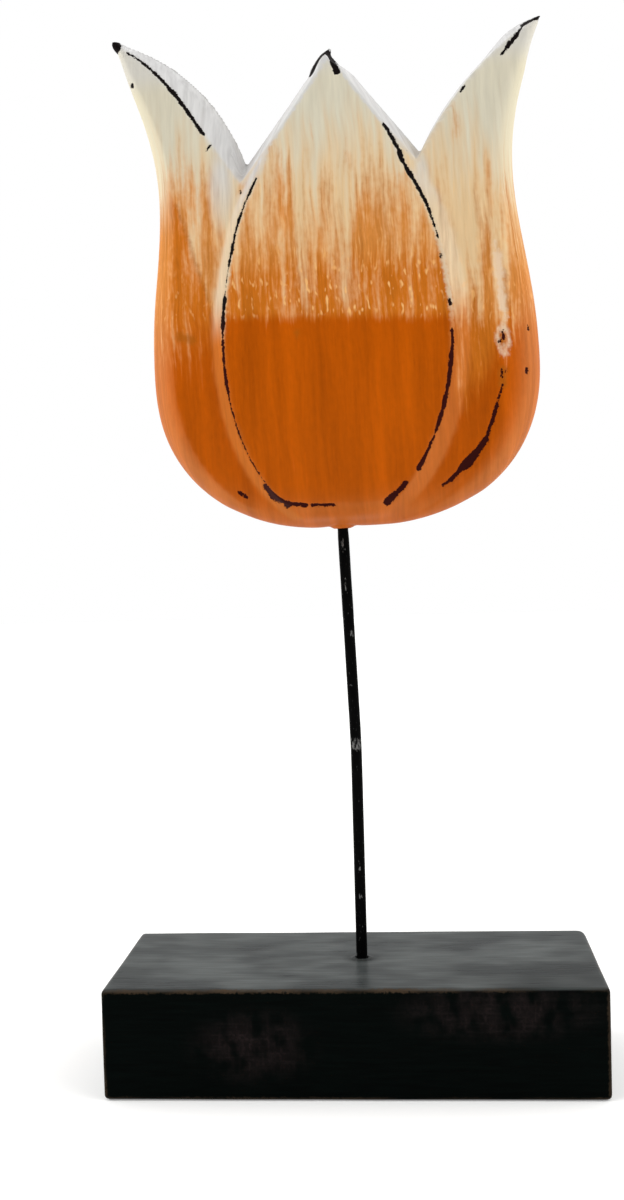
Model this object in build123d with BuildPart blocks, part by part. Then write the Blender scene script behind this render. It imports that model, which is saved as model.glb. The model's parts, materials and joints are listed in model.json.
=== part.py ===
from build123d import *

import math
import os

os.makedirs("parts", exist_ok=True)

# Sizes are in millimetres and angles in degrees. X runs to the right as the ornament is seen
# from its front, Y runs away from the viewer and Z is up. The origin is the middle of the
# block's underside.

# Base block: a sawn wooden brick with broken edges
BASE_WIDTH = 141.6
BASE_DEPTH = 61.5
BASE_HEIGHT = 31.4
BASE_EDGE_RADIUS = 1.5

# Stem: a round steel rod, set a little off centre and bent by hand part way up
STEM_DIAMETER = 3.2
STEM_FOOT_X = 1.6
STEM_FOOT_LEAN = 0.1
STEM_TOP_LEAN = 2.1
STEM_BEND_RISE = 64.0
STEM_BEND_RADIUS = 400.0
STEM_RISE = 128.4
BASE_SEAT = 22.0
FLOWER_SEAT = 32.0
STEM_CLEARANCE = 0.05

# Flower: heights are measured from its underside, widths are half widths
HOLE_OFFSET = 3.8
BELLY_HEIGHT = 48.0
BELLY_WIDTH = 56.6
WAIST_HEIGHT = 102.0
WAIST_WIDTH = 51.8
TIP_HEIGHT = 145.5
TIP_WIDTH = 63.0
TIP_UNEVENNESS = 1.6
FLARE_POWER = 1.6
POLE_CUT = 0.6
WIDTH_FULLNESS = 2.4
DEPTH_FULLNESS = 2.2

# Flower body: depths from the middle plane to the carved faces, given at the belly
BODY_DEPTH = 21.3
SIDE_ARRIS_DEPTH = 15.8
LEFT_BAND = 8.0
RIGHT_BAND = 11.5
TIP_DEPTH = 2.6
TAPER_POWER = 1.3

# Raised centre petal, the same at the front and at the back
PETAL_WIDTH = 32.2
PETAL_WIDEST = 53.0
PETAL_POINT = 135.0
PETAL_POINT_POWER = 2.05
PETAL_SHIFT = 0.3
PETAL_LEAN = 3.2
PETAL_DEPTH = 24.0
PETAL_ARRIS_DEPTH = 22.5
LEFT_WALL = 4.0
RIGHT_WALL = 6.2
WALL_SINK = 1.0
PETAL_FULLNESS = 2.8
HEEL_HEIGHT = 6.3
HEEL_BEVEL = 4.2

# Gaps between the petal tips, cut with bevelled walls from the middle plane outwards. A side
# petal's edge loses bow with each millimetre of depth by its flattening.
NOTCH_HEIGHT = 107.4
NOTCH_WIDTH = 25.5
CENTRE_TIP_DROP = 5.5
CENTRE_TIP_SHIFT = 0.9
CENTRE_BEVEL = 20.0
RIGHT_EDGE_BOW = 4.4
RIGHT_BEVEL = 14.0
RIGHT_FLATTENING = 0.0
LEFT_EDGE_BOW = 7.0
LEFT_BEVEL = 26.0
LEFT_FLATTENING = 0.5

BOWL_STEPS = 6
UPPER_STEPS = 7
CUT_MARGIN = 4.0

# Stem path in the XZ plane, from the end in the block to the end in the flower
hole_radius = STEM_DIAMETER / 2 + STEM_CLEARANCE
foot_lean = math.radians(STEM_FOOT_LEAN)
top_lean = math.radians(STEM_TOP_LEAN)
foot_direction = Vector(-math.sin(foot_lean), 0, math.cos(foot_lean))
top_direction = Vector(-math.sin(top_lean), 0, math.cos(top_lean))
stem_foot = Vector(STEM_FOOT_X, 0, BASE_HEIGHT)
stem_start = stem_foot - foot_direction * BASE_SEAT
stem_bend = stem_foot + foot_direction * STEM_BEND_RISE
stem_neck = stem_bend + top_direction * (STEM_RISE - STEM_BEND_RISE)
stem_end = stem_neck + top_direction * FLOWER_SEAT

# The flower stands square on the stem's upper end, with its hole off its own middle
flower_right = Vector(math.cos(top_lean), 0, math.sin(top_lean))
flower_foot = stem_neck + flower_right * HOLE_OFFSET
FLOWER_LEVEL = Plane(origin=flower_foot, x_dir=flower_right, z_dir=top_direction)
FLOWER_FRONT = Plane(origin=flower_foot, x_dir=flower_right, z_dir=(0, -1, 0))
bowl_reach = BELLY_HEIGHT + POLE_CUT
loft_top = TIP_HEIGHT + TIP_UNEVENNESS + CUT_MARGIN


def bowl(z, fullness):
    """Share of its belly size that the rounded bottom has at height z."""
    return (1 - ((BELLY_HEIGHT - z) / bowl_reach) ** fullness) ** (1 / fullness)


def body_width(z):
    """Half width of the flower: a round bowl, a waist and flared tips."""
    if z < BELLY_HEIGHT:
        return BELLY_WIDTH * bowl(z, WIDTH_FULLNESS)
    if z < WAIST_HEIGHT:
        turn = math.pi * (z - BELLY_HEIGHT) / (WAIST_HEIGHT - BELLY_HEIGHT)
        return WAIST_WIDTH + (BELLY_WIDTH - WAIST_WIDTH) * (1 + math.cos(turn)) / 2
    flare = (z - WAIST_HEIGHT) / (TIP_HEIGHT - WAIST_HEIGHT)
    return WAIST_WIDTH + (TIP_WIDTH - WAIST_WIDTH) * flare**FLARE_POWER


def swell(z, fullness):
    """Share of its belly depth that the flower has at height z."""
    if z < BELLY_HEIGHT:
        return bowl(z, fullness)
    rise = (z - BELLY_HEIGHT) / (loft_top - BELLY_HEIGHT)
    return 1 - (1 - TIP_DEPTH / BODY_DEPTH) * rise**TAPER_POWER


def petal_width(z):
    """Half width of the raised petal, held at its notch width above the notches."""
    if z < PETAL_WIDEST:
        return PETAL_WIDTH * math.sqrt(1 - ((PETAL_WIDEST - z) / PETAL_WIDEST) ** 2)
    rise = (min(z, NOTCH_HEIGHT) - PETAL_WIDEST) / (PETAL_POINT - PETAL_WIDEST)
    return PETAL_WIDTH * (1 - rise**PETAL_POINT_POWER)


def petal_shift(z):
    """How far the raised petal stands left of the flower's middle, most at its foot."""
    drop = (NOTCH_HEIGHT - min(z, NOTCH_HEIGHT)) / NOTCH_HEIGHT
    return PETAL_SHIFT + PETAL_LEAN * drop**2


def section_heights(lowest):
    """Heights of the loft sections, spaced evenly round the bowl and then up to the tips."""
    first = math.acos((BELLY_HEIGHT - lowest) / bowl_reach)
    turns = [first + (math.pi / 2 - first) * step / BOWL_STEPS for step in range(BOWL_STEPS)]
    rises = [step / UPPER_STEPS for step in range(UPPER_STEPS + 1)]
    lower = [BELLY_HEIGHT - bowl_reach * math.cos(turn) for turn in turns]
    return lower + [BELLY_HEIGHT + (loft_top - BELLY_HEIGHT) * rise for rise in rises]


def side_band(z, band):
    """Width of a side band, which narrows more slowly than the depth round the bowl."""
    share = swell(z, DEPTH_FULLNESS)
    return band * (math.sqrt(share) if z < BELLY_HEIGHT else share)


def face_depth(z, x, band):
    """Depth of the body's crowned face at a place between its middle and its side arris."""
    share = swell(z, DEPTH_FULLNESS)
    arris = body_width(z) - side_band(z, band)
    return share * (BODY_DEPTH - (BODY_DEPTH - SIDE_ARRIS_DEPTH) * (x / arris) ** 2)


def body_section(z):
    """Lens-shaped section: crowned faces, soft side arrises and rounded sides."""
    width = body_width(z)
    share = swell(z, DEPTH_FULLNESS)
    depth = BODY_DEPTH * share
    arris_depth = SIDE_ARRIS_DEPTH * share
    left = side_band(z, LEFT_BAND) - width
    right = width - side_band(z, RIGHT_BAND)
    with BuildSketch(FLOWER_LEVEL.offset(z)) as section:
        with BuildLine():
            ThreePointArc((left, -arris_depth), (0, -depth), (right, -arris_depth))
            TangentArc((width, 0), (right, -arris_depth), tangent=(0, -1))
            TangentArc((width, 0), (right, arris_depth), tangent=(0, 1))
            ThreePointArc((right, arris_depth), (0, depth), (left, arris_depth))
            TangentArc((-width, 0), (left, arris_depth), tangent=(0, 1))
            TangentArc((-width, 0), (left, -arris_depth), tangent=(0, -1))
        make_face()
    return section.sketch


def petal_section(z, bevel=0):
    """Section of the raised petal: crowned faces, and walls that slope down into the body's faces."""
    share = swell(z, PETAL_FULLNESS)
    width = petal_width(z) - bevel
    depth = PETAL_DEPTH * share - bevel
    arris_depth = PETAL_ARRIS_DEPTH * share - bevel
    sunk = WALL_SINK * share + bevel
    middle = -petal_shift(z)
    left = middle - width
    right = middle + width
    left_foot = left - LEFT_WALL
    right_foot = right + RIGHT_WALL
    left_depth = face_depth(z, left_foot, LEFT_BAND) - sunk
    right_depth = face_depth(z, right_foot, RIGHT_BAND) - sunk
    right_wall = ((right_foot, -right_depth), (right_foot, right_depth))
    left_wall = ((left_foot, left_depth), (left_foot, -left_depth))
    with BuildSketch(FLOWER_LEVEL.offset(z - bevel)) as section:
        with BuildLine():
            ThreePointArc((left, -arris_depth), (middle, -depth), (right, -arris_depth))
            Polyline((right, -arris_depth), *right_wall, (right, arris_depth))
            ThreePointArc((right, arris_depth), (middle, depth), (left, arris_depth))
            Polyline((left, arris_depth), *left_wall, (left, -arris_depth))
        make_face()
    return section.sketch


def petal_gap(side, bow, bevel, flattening, depth):
    """Gap beside the centre tip, at a depth in front of the middle plane: it widens both ways."""
    centre_spread = abs(depth) * math.tan(math.radians(CENTRE_BEVEL))
    side_spread = abs(depth) * math.tan(math.radians(bevel))
    centre_tip = Vector(side * CENTRE_TIP_SHIFT, TIP_HEIGHT - CENTRE_TIP_DROP)
    notch = Vector(NOTCH_WIDTH, NOTCH_HEIGHT)
    side_tip = Vector(TIP_WIDTH, TIP_HEIGHT - side * TIP_UNEVENNESS)
    to_centre = (centre_tip - notch).normalized()
    to_side = (side_tip - notch).normalized()
    outward = to_side.rotate(Axis.Z, -90)
    opening = math.radians(to_centre.get_angle(to_side))
    low_tip = centre_tip - Vector(0, centre_spread / abs(to_centre.X))
    low_notch = notch - (to_centre * side_spread + to_side * centre_spread) / math.sin(opening)
    arc_middle = (notch + side_tip) / 2 + outward * (side_spread - bow + flattening * abs(depth))
    arc_end = side_tip + outward * side_spread
    clear_of_tip = arc_end + Vector(2 * CUT_MARGIN, 0)
    top = loft_top + CUT_MARGIN
    corners = (arc_end, clear_of_tip, (clear_of_tip.X, top), (centre_tip.X, top), low_tip, low_notch)
    with BuildSketch(FLOWER_FRONT.offset(depth)) as gap:
        with BuildLine():
            ThreePointArc(low_notch, arc_middle, arc_end)
            Polyline(*corners)
        make_face()
        if side < 0:
            mirror(about=Plane.YZ, mode=Mode.REPLACE)
    return gap.sketch


# Base block with a blind hole for the stem
with BuildPart() as base_block:
    Box(BASE_WIDTH, BASE_DEPTH, BASE_HEIGHT, align=(Align.CENTER, Align.CENTER, Align.MIN))
    fillet(base_block.edges(), radius=BASE_EDGE_RADIUS)
    with BuildSketch(Plane(origin=stem_start, z_dir=foot_direction)):
        Circle(hole_radius)
    extrude(amount=BASE_SEAT + CUT_MARGIN, mode=Mode.SUBTRACT)

# Stem, one rod with a gentle bend
with BuildPart() as stem_rod:
    with BuildLine():
        FilletPolyline(stem_start, stem_bend, stem_end, radius=STEM_BEND_RADIUS)
    with BuildSketch(Plane(origin=stem_start, z_dir=foot_direction)):
        Circle(STEM_DIAMETER / 2)
    sweep()

# Flower, carved from one block of wood
with BuildPart() as tulip_head:
    loft([body_section(height) for height in section_heights(0)])
    loft([petal_section(height) for height in section_heights(HEEL_HEIGHT)])
    loft([petal_section(HEEL_HEIGHT), petal_section(HEEL_HEIGHT, HEEL_BEVEL)], ruled=True)
    right_gap = (1, RIGHT_EDGE_BOW, RIGHT_BEVEL, RIGHT_FLATTENING)
    left_gap = (-1, LEFT_EDGE_BOW, LEFT_BEVEL, LEFT_FLATTENING)
    for gap in (right_gap, left_gap):
        sections = [petal_gap(*gap, depth) for depth in (PETAL_DEPTH, 0, -PETAL_DEPTH)]
        loft(sections, ruled=True, mode=Mode.SUBTRACT)
    with BuildSketch(Plane(origin=stem_neck - top_direction * CUT_MARGIN, z_dir=top_direction)):
        Circle(hole_radius)
    extrude(amount=FLOWER_SEAT + CUT_MARGIN, mode=Mode.SUBTRACT)

base_block.part.label = "base_block"
stem_rod.part.label = "stem_rod"
tulip_head.part.label = "tulip_head"

export_step(base_block.part, "parts/base_block.step")
export_step(stem_rod.part, "parts/stem_rod.step")
export_step(tulip_head.part, "parts/tulip_head.step")
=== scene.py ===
import json
import math

import bmesh
import bpy
import numpy as np
from mathutils import Matrix, Vector, noise
from mathutils.bvhtree import BVHTree
from mathutils.kdtree import KDTree


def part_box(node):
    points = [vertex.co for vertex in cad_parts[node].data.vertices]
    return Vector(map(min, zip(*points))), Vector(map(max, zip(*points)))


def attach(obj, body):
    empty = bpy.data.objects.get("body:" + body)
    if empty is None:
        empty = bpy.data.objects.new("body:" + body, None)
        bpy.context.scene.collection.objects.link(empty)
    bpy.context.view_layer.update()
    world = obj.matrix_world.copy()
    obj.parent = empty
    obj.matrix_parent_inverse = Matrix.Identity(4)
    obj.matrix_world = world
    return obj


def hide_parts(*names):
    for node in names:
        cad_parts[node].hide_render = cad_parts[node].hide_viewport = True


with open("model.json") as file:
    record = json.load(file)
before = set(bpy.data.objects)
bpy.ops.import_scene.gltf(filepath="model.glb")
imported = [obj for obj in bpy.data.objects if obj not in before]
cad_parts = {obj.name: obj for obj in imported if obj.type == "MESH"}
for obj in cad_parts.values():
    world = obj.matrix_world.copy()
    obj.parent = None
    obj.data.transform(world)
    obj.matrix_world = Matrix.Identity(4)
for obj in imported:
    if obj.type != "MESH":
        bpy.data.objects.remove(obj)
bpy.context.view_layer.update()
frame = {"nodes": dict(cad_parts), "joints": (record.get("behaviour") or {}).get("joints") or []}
scene = bpy.context.scene

# Sizes named here are in millimetres and are brought to Blender's metres where they are used.
# The flower's own frame has X across its front, Y away from the viewer and Z up along the stem,
# with its origin in the middle of the flower's underside.
MM = 0.001

# Camera, fitted to the block's corners in a photograph of 624 by 1200 pixels
PHOTO_HEIGHT = 1200
FOCAL_LENGTH_PIXELS = 1425
CAMERA_PLACE = Vector((19.81, -420.87, 151.76))
CAMERA_YAW = math.radians(4.125)
CAMERA_PITCH = math.radians(-1.811)
CAMERA_ROLL = math.radians(-1.501)

# Studio: a white tent with a dim side behind the camera, and two wide soft lamps at the sides, each
# with its azimuth and elevation in degrees
TENT_LEVEL = 1.0
CAMERA_SIDE_LEVEL = 0.10
CAMERA_SIDE_END = -0.1
KEY_STRENGTH = 1.35
KEY_PLACE = (-78, 36)
FILL_STRENGTH = 1.15
FILL_PLACE = (78, 34)
LAMP_SPREAD = math.radians(60)
FLOOR_SIZE = 6000
FLOOR_DROP = 0.05
FLOOR_COLOUR = (0.88, 0.88, 0.87, 1)
FLOOR_ROUGHNESS = 0.9
FLOOR_GLOW = 0.2

# Meshes: the distance between points, how the CAD edges are found, and how points and measures are
# drawn towards their neighbours
BLOOM_VOXEL = 0.65
STEM_VOXEL = 0.3
BLOCK_VOXEL = 0.8
MERGE_DISTANCE = 0.001
EDGE_STEP = 0.15
EDGE_TURN = math.radians(14)
EDGE_GRIP = 0.36
SOFTENING_ROUNDS = 2
SOFTENING_SHARE = 0.35
SPREAD_SHARE = 0.5

# Flower: the hole for the stem, the low waves left by the carving knife, how the surface sinks in a
# worn mark, and the bead of paint round the stem
HOLE_OFFSET = 3.8
HOLE_RADIUS = 1.68
HOLE_DEPTH = 32.0
HOLE_MARGIN = 0.6
HOLE_LIP = 1.0
CARVING_WAVE = 22.0
CARVING_HEIGHT = 0.22
CARVING_SEED = 1.7
WEAR_SINK = 0.25
BARE_AND_SHADED_SINK = (-0.6, 0.3)
PALE_SINK = (-0.3, 0.4)
BEAD_REACH = 4.4
BEAD_HEIGHT = 0.5
BEAD_TURN = (-0.3, -0.8)

# Centre petal as the paint sees it: its half width, the heights where it is widest and ends, and how
# far outside it an arris still counts as its own
PETAL_HALF_WIDTH = 32.0
PETAL_WIDEST = 53.0
PETAL_POINT = 135.0
PETAL_MARGIN = 4.0

# Height where the orange gets thin on each petal, and how far the change is drawn out
CENTRE_BREAK = 58.0
CENTRE_BREAK_SLOPE = -0.07
CENTRE_DRAWN = 4.0
LEFT_BREAK = 56.0
LEFT_DRAWN = 24.0
RIGHT_BREAK_INNER = 35.0
RIGHT_BREAK_SLOPE = 1.3
RIGHT_INNER_PLACE = 35.0
RIGHT_DRAWN = 15.0

# Height where the thin orange has turned to tan; on the left this edge slants down to the centre, and
# above it at least a share is cream
CENTRE_TAN = (60, 86)
LEFT_TAN_INNER = 60.0
LEFT_TAN_OUTER = 97.0
LEFT_INNER_PLACE = 35.5
LEFT_OUTER_PLACE = 46.0
LEFT_TAN_DRAWN = 3.0
LEFT_TAN_CREAM = 0.35
RIGHT_TAN = (44, 70)

# Heights between which cream closes over the orange on each petal, and between which a share is added
# on all of them
CENTRE_CREAM = (62, 112)
LEFT_CREAM = (76, 122)
RIGHT_CREAM = (44, 92)
CLOSED_CREAM = (94, 120)
CLOSED_SHARE = 0.5

# Pale wedge beside the centre petal's right arris: a place on its slanting edge, and how it widens
WEDGE_X = 32.6
WEDGE_Z = 53.4
WEDGE_SLOPE = 0.22
WEDGE_DRAWN = 2.0
WEDGE_CREAM = 0.85

# Walls: which faces beside the centre petal's creases and in the gaps count as walls, and how many
# times that measure is spread
WALL_TURN = 0.4
WALL_WIDTH = 6.5
WALL_TOP = 112
GAP_TURN = 0.8
GAP_RISE = 0.12
GAP_BOTTOM = 100
WALL_ROUNDS = 6

# The wall beside the petal's right arris shows less of its own colour, least low down
RIGHT_WALL_LOW = 0.35
RIGHT_WALL_HIGH = 0.75
RIGHT_WALL_HEIGHTS = (58, 78)

# Grey-white patches that carry the gaps' walls on below the notches: middle, height, half width, half
# height and share, and how they fade outwards and towards the knife edges
NOTCH_PATCHES = (
    (-32.0, 97, 4.0, 14.0, 0.80),
    (25.5, 97, 2.5, 8.0, 0.60),
)
PATCH_EDGE = (1.2, 0.4)
PATCH_DEPTHS = (0, -4)

# Columns of brushing: place across, lower and upper end, half width, share of cream added, and how
# far both ends are drawn out
COLUMNS = (
    (-9.5, 58, 100, 2.2, 0.40),
    (2.5, 60, 98, 3.0, 0.38),
    (-14.0, 84, 110, 3.0, -0.45),
    (8.5, 74, 94, 3.2, -0.35),
    (19.0, 80, 100, 2.4, -0.25),
    (-4.5, 108, 121, 1.4, -0.55),
    (4.8, 102, 109, 0.9, -0.50),
    (-42.0, 96, 118, 3.0, -0.20),
    (-30.5, 90, 113, 3.6, 0.60),
    (42.0, 55, 85, 1.4, -0.30),
    (38.5, 54, 90, 1.6, 0.25),
    (48.5, 75, 95, 1.5, -0.30),
    (36.0, 106, 120, 1.6, -0.45),
    (44.5, 86, 104, 1.8, -0.35),
    (-47.5, 98, 116, 2.0, -0.30),
    (53.0, 62, 98, 4.5, -0.45),
)
COLUMN_FOOT_DRAWN = 4
COLUMN_HEAD_DRAWN = 6

# Dabs: where they begin above the break, where they end, and their share beside the centre petal
DAB_LOW_HEIGHTS = (57, 60)
DAB_HIGH_HEIGHTS = (88, 62)
DAB_SIDE_SHARE = 0.5

# Marks on the flower are strokes seen from the front, with a start, an end and a half width. Named
# first are how far from a mark it still tells, and how dark marks swell and break off on their way
WEAR_REACH = 2.2
DASH_LENGTH = 4.2
DASH_LEVEL = 0.95
DASH_SWING = 0.6
DASH_SEED = 5.3

# Worn stretches of the arrises on the flower's faces; the two lowest on the centre petal's left arris are a
# thin painted shadow of the groove beside it
WORN_AND_SHADED_ARRISES = (
    ((-57, 142), (-50, 135), 0.50),
    ((-50, 135), (-45, 129), 0.70),
    ((-45, 129), (-37.1, 116.4), 0.80),
    ((20, 103.4), (22, 98), 0.70),
    ((22, 98), (26, 87.5), 0.60),
    ((26, 87.5), (27.8, 80), 0.32),
    ((31, 51), (30.6, 45), 0.55),
    ((30.6, 45), (28.6, 35), 0.75),
    ((28.4, 34.4), (27.6, 32), 0.85),
    ((27, 30), (25.4, 26), 0.65),
    ((24.6, 24.2), (24, 23), 0.45),
    ((22.8, 20.4), (20, 15.4), 0.85),
    ((-22.3, 98.7), (-26.6, 88.4), 0.42),
    ((-26.6, 88.4), (-30, 76), 0.52),
    ((-30, 76), (-32.2, 66), 0.16),
    ((-32.4, 65), (-33.2, 58), 0.80),
    ((-33.2, 58), (-33.2, 46), 0.62),
    ((-33.2, 46), (-32.6, 39), 0.50),
    # The next two: a thin painted shadow of the groove beside the centre petal
    ((-32.6, 39), (-30.1, 27), 0.36),
    ((-30.1, 27), (-24, 13), 0.30),
)

# Worn lines beside the right notch and along the soft edges low on the flower
WORN_LINES = (
    ((15.6, 113), (17.2, 109.8), 0.60),
    ((17.2, 109.8), (20, 103.4), 0.62),
    ((15.6, 11), (12.4, 7.6), 0.60),
    ((12.4, 7.6), (9.6, 5.8), 1.00),
    ((-24.5, 12.6), (-22.4, 9.8), 0.85),
    ((-22.4, 9.8), (-18.4, 7.2), 1.00),
    ((-18.4, 7.2), (-13, 6.4), 0.50),
    ((-11.4, 6.3), (-5.2, 6), 0.45),
    ((-32.4, 11.6), (-30.4, 10), 0.60),
    ((43, 33), (42.5, 31), 0.40),
    ((42.5, 31), (39, 22), 0.60),
    ((39, 22), (36, 18), 0.85),
    ((36, 18), (32, 14.4), 1.10),
    ((32, 14.4), (28.4, 11.2), 0.85),
    ((28.4, 11.2), (26, 9.8), 0.40),
)

# Soft brown smudges: where a stroke of the brush laps over another on the left petal, small ones, and a
# painted shadow beside the pale scrape on the right
SMUDGES_AND_SHADOW = (
    ((-45.5, 95), (-43.4, 88.8), 0.00),
    ((-43.4, 88.8), (-41.3, 81), 0.20),
    ((-41.3, 81), (-37.3, 66.4), 0.10),
    ((-46, 56.7), (-42.5, 55.4), 1.00),
    # A painted shadow beside the pale scrape
    ((46.9, 69), (47.3, 58), 0.20),
    ((-12.2, 54.5), (-12, 53.5), 0.20),
    ((45.4, 50.6), (45.3, 48.4), 0.90),
    ((44.7, 40.8), (44.5, 37.2), 1.00),
)

# Dark tips of the petals
DARK_TIPS = (
    ((-62.4, 145.4), (-61.4, 144.6), 1.50),
    ((-4.8, 131.8), (-2.2, 135.4), 0.80),
    ((-2.2, 135.4), (0.2, 137.8), 1.05),
    ((-0.6, 137.2), (0.9, 137), 1.20),
    ((0.2, 138.2), (1.4, 136.2), 1.00),
    ((1.4, 136.2), (3, 130), 0.95),
    ((1.2, 138.2), (3.6, 134.4), 0.35),
    ((50.2, 131.8), (52, 134), 0.40),
    ((52, 134), (55, 137.4), 0.65),
    ((55, 137.4), (56.4, 139.4), 0.35),
    ((57, 140.7), (62, 143.2), 0.80),
)

# Dark specks on the front
DARK_SPECKS = (
    ((-35.8, 110.3), (-34.2, 112.3), 0.30),
    ((39.1, 123.5), (37.8, 121.5), 0.28),
    ((29.2, 73.4), (29.3, 72.8), 0.45),
    ((30.8, 60.8), (30.9, 59.4), 0.50),
    ((53, 53.8), (53, 52.4), 0.28),
    ((51.8, 41.4), (51.6, 40.2), 0.45),
    ((-57.6, 133), (-57.2, 132.6), 0.55),
    ((-26.5, 97.5), (-26.3, 96.5), 0.20),
    ((44.5, 51.8), (46.3, 52), 0.22),
    ((45.3, 51), (45.5, 49.4), 0.38),
    ((44.2, 49.2), (44.1, 48.4), 0.30),
    ((44.3, 41), (44.2, 38.6), 0.32),
    ((45.6, 41.2), (45.5, 39.8), 0.26),
    ((44.4, 36.8), (43.2, 33.4), 0.28),
)

# Pale scrape on the front, down to the first coat, and the pale ring of a chip below it
PALE_SCRAPES = (
    ((44.7, 77), (45.3, 73.4), 0.45),
    ((45.3, 73.4), (45.4, 67.6), 1.15),
    ((45.4, 67.6), (45.6, 62), 0.85),
    ((45.6, 62), (45.9, 58), 1.05),
    ((45.9, 58), (46.5, 55.4), 0.45),
)
CHIP_PLACE = (45.4, 49.6)
CHIP_HALF_WIDTH = 1.6
CHIP_HALF_HEIGHT = 3.3
CHIP_RING = 0.45

# Tips: the left one is a little fuller than in CAD, the centre one leans left under its point, and
# the right one is longer and its inner edge fuller
LEFT_TIP = (-62, 145.5)
LEFT_TIP_REACH = 3.5
LEFT_TIP_FULLNESS = 0.95
CENTRE_TIP_HALF_WIDTH = 14.0
CENTRE_LEAN = (-1.25, 0, 0)
CENTRE_LEAN_HEIGHTS = (131, 135)
CENTRE_POINT_HEIGHTS = (139.6, 137.2)
RIGHT_TIP = (62, 145.5)
RIGHT_TIP_REACH = 16.0
RIGHT_TIP_SHIFT = (1.8, 0, 1.0)
RIGHT_EDGE = (54, 138.6)
RIGHT_EDGE_REACH = 12.0
RIGHT_EDGE_DEPTH = 5.0
RIGHT_EDGE_SHIFT = (-0.8, 0, 1.25)

# Underside: how high and how strongly the edges under the heel are smoothed away
HEEL_HEIGHTS = (9, 5)
HEEL_ROUNDS = 90

# Grey line along the knife edges between front and back, and how near the middle they lie
RIM_WIDTH = 1.0
RIM_DEPTH = 0.8

# Band: how far a face has to turn from the front before it counts as the edge band, which is painted lighter
# for the light that falls on the sides, and how many times its measure and those of the coats are spread
BAND_TURN = (0.93, 0.60)
BAND_ROUNDS = 4
COAT_ROUNDS = 2

# Stem: how its mesh is softened, how thick its paint lies between the block and the flower, and how
# uneven it is
STEM_ROUNDS = 1
STEM_SOFTENING = 0.3
STEM_COAT = 0.09
STEM_COAT_FOOT = (31.5, 33.5)
STEM_COAT_HEAD = (159, 156)
STEM_UNEVENNESS = 0.03
STEM_WAVE = 6.0
STEM_SEED = 4.1

# Grey marks on the front of the stem's paint, the wide one at 95.3 a scuffed patch and the narrow ones
# painted glints:
# height, half length, place across and half width as shares of the radius
STEM_SCUFFS_AND_GLINTS = (
    (154.5, 2.4, -0.10, 0.35),
    (142.6, 3.6, 0.00, 0.30),
    (128.3, 1.5, 0.45, 0.36),
    (95.3, 2.6, 0.00, 1.20),
    (58.5, 0.9, 0.10, 0.32),
    (50.0, 1.1, 0.10, 0.38),
)

# Block: how far a face has to turn to count as the top or the front, and how unevenly it is worn
TOP_TURN = (0.5, 0.9)
FRONT_TURN = (-0.5, -0.9)
BLOCK_WEAR = 0.10
BLOCK_WAVE = 25.0
BLOCK_SEED = 2.3

# Block: the stem's foot, the bead of paint round it, and where the top is painted darker: painted shade and
# the stem's painted dark reflection round the foot, and painted shade at the front right
FOOT_X = 1.6
FOOT_RADIUS = 1.7
FOOT_BEAD_REACH = 3.6
FOOT_BEAD_HEIGHT = 0.45
FOOT_SHADE = 0.7
FOOT_SHADE_REACH = 7.0
CORNER_SHADE = 0.4
CORNER_SHADE_X = (5, 55)
CORNER_SHADE_Y = (8, -24)

# Block: the radius of its worn corner at the back on the right
CORNER_RADIUS = 6.0

# Block: how far its edges are drawn brown, on every edge as a painted highlight, and worn more along the
# left of the top's front edge
EDGE_HIGHLIGHT_AND_RUBBING = 0.5
FRONT_RUBBING = 0.5
FRONT_RUBBING_X = (40, -10)
FRONT_EDGE_REACH = (4, 2)
EDGE_LINE_LEVEL = 0.5
EDGE_LINE_SWING = 1.2
EDGE_LINE_WAVE = 9.0
EDGE_LINE_SEED = 3.9

# Scratched patches on the block's front: middle, height, half width, half height, and how they fade
SCRATCHED = (
    (-28, 15.5, 18, 11),
    (40, 25, 29, 9),
)
SCRATCHED_EDGE = (1.2, 0.3)

# Paint colours, as linear red, green and blue
DEEP_ORANGE = (0.500, 0.091, 0.001, 1)
MID_ORANGE = (0.610, 0.165, 0.012, 1)
TAN_ORANGE = (0.700, 0.255, 0.050, 1)
HAIR_CREAM = (0.860, 0.560, 0.250, 1)
SIDE_CREAM = (0.780, 0.710, 0.520, 1)
BAND_LIT_ORANGE = (0.560, 0.163, 0.037, 1)
SMUDGE_AND_SHADOW_BROWN = (0.400, 0.105, 0.006, 1)
WALL_LIT_ORANGE = (0.560, 0.155, 0.022, 1)
CREAM = (0.790, 0.560, 0.310, 1)
GREY_WHITE = (0.690, 0.640, 0.500, 1)
WALL_CREAM = (0.720, 0.580, 0.400, 1)
WALL_WHITE = (0.660, 0.655, 0.655, 1)
RIM_GREY = (0.260, 0.245, 0.230, 1)
DAB_ORANGE = (0.930, 0.520, 0.190, 1)
SCRAPE_CREAM = (0.830, 0.620, 0.430, 1)
UNDERCOAT = (0.006, 0.004, 0.004, 1)
RED_UNDERCOAT_AND_SHADE = (0.034, 0.004, 0.003, 1)
STEM_BLACK = (0.0003, 0.0003, 0.0003, 1)
STEM_GREY = (0.003, 0.003, 0.003, 1)
SCUFF_AND_GLINT_GREY = (0.170, 0.170, 0.165, 1)
SIDE_BLACK = (0.0008, 0.0018, 0.0015)
SCRATCH_BROWN = (0.018, 0.0125, 0.0125, 1)
# The block's top: greys of a painted reflection of the white surroundings, lighter and darker in clouds
TOP_REFLECTION_DARK = (0.035, 0.039, 0.039, 1)
TOP_REFLECTION_GREY = (0.088, 0.096, 0.094, 1)
RUBBED_AND_HIGHLIGHT_BROWN = (0.060, 0.040, 0.025, 1)

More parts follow.
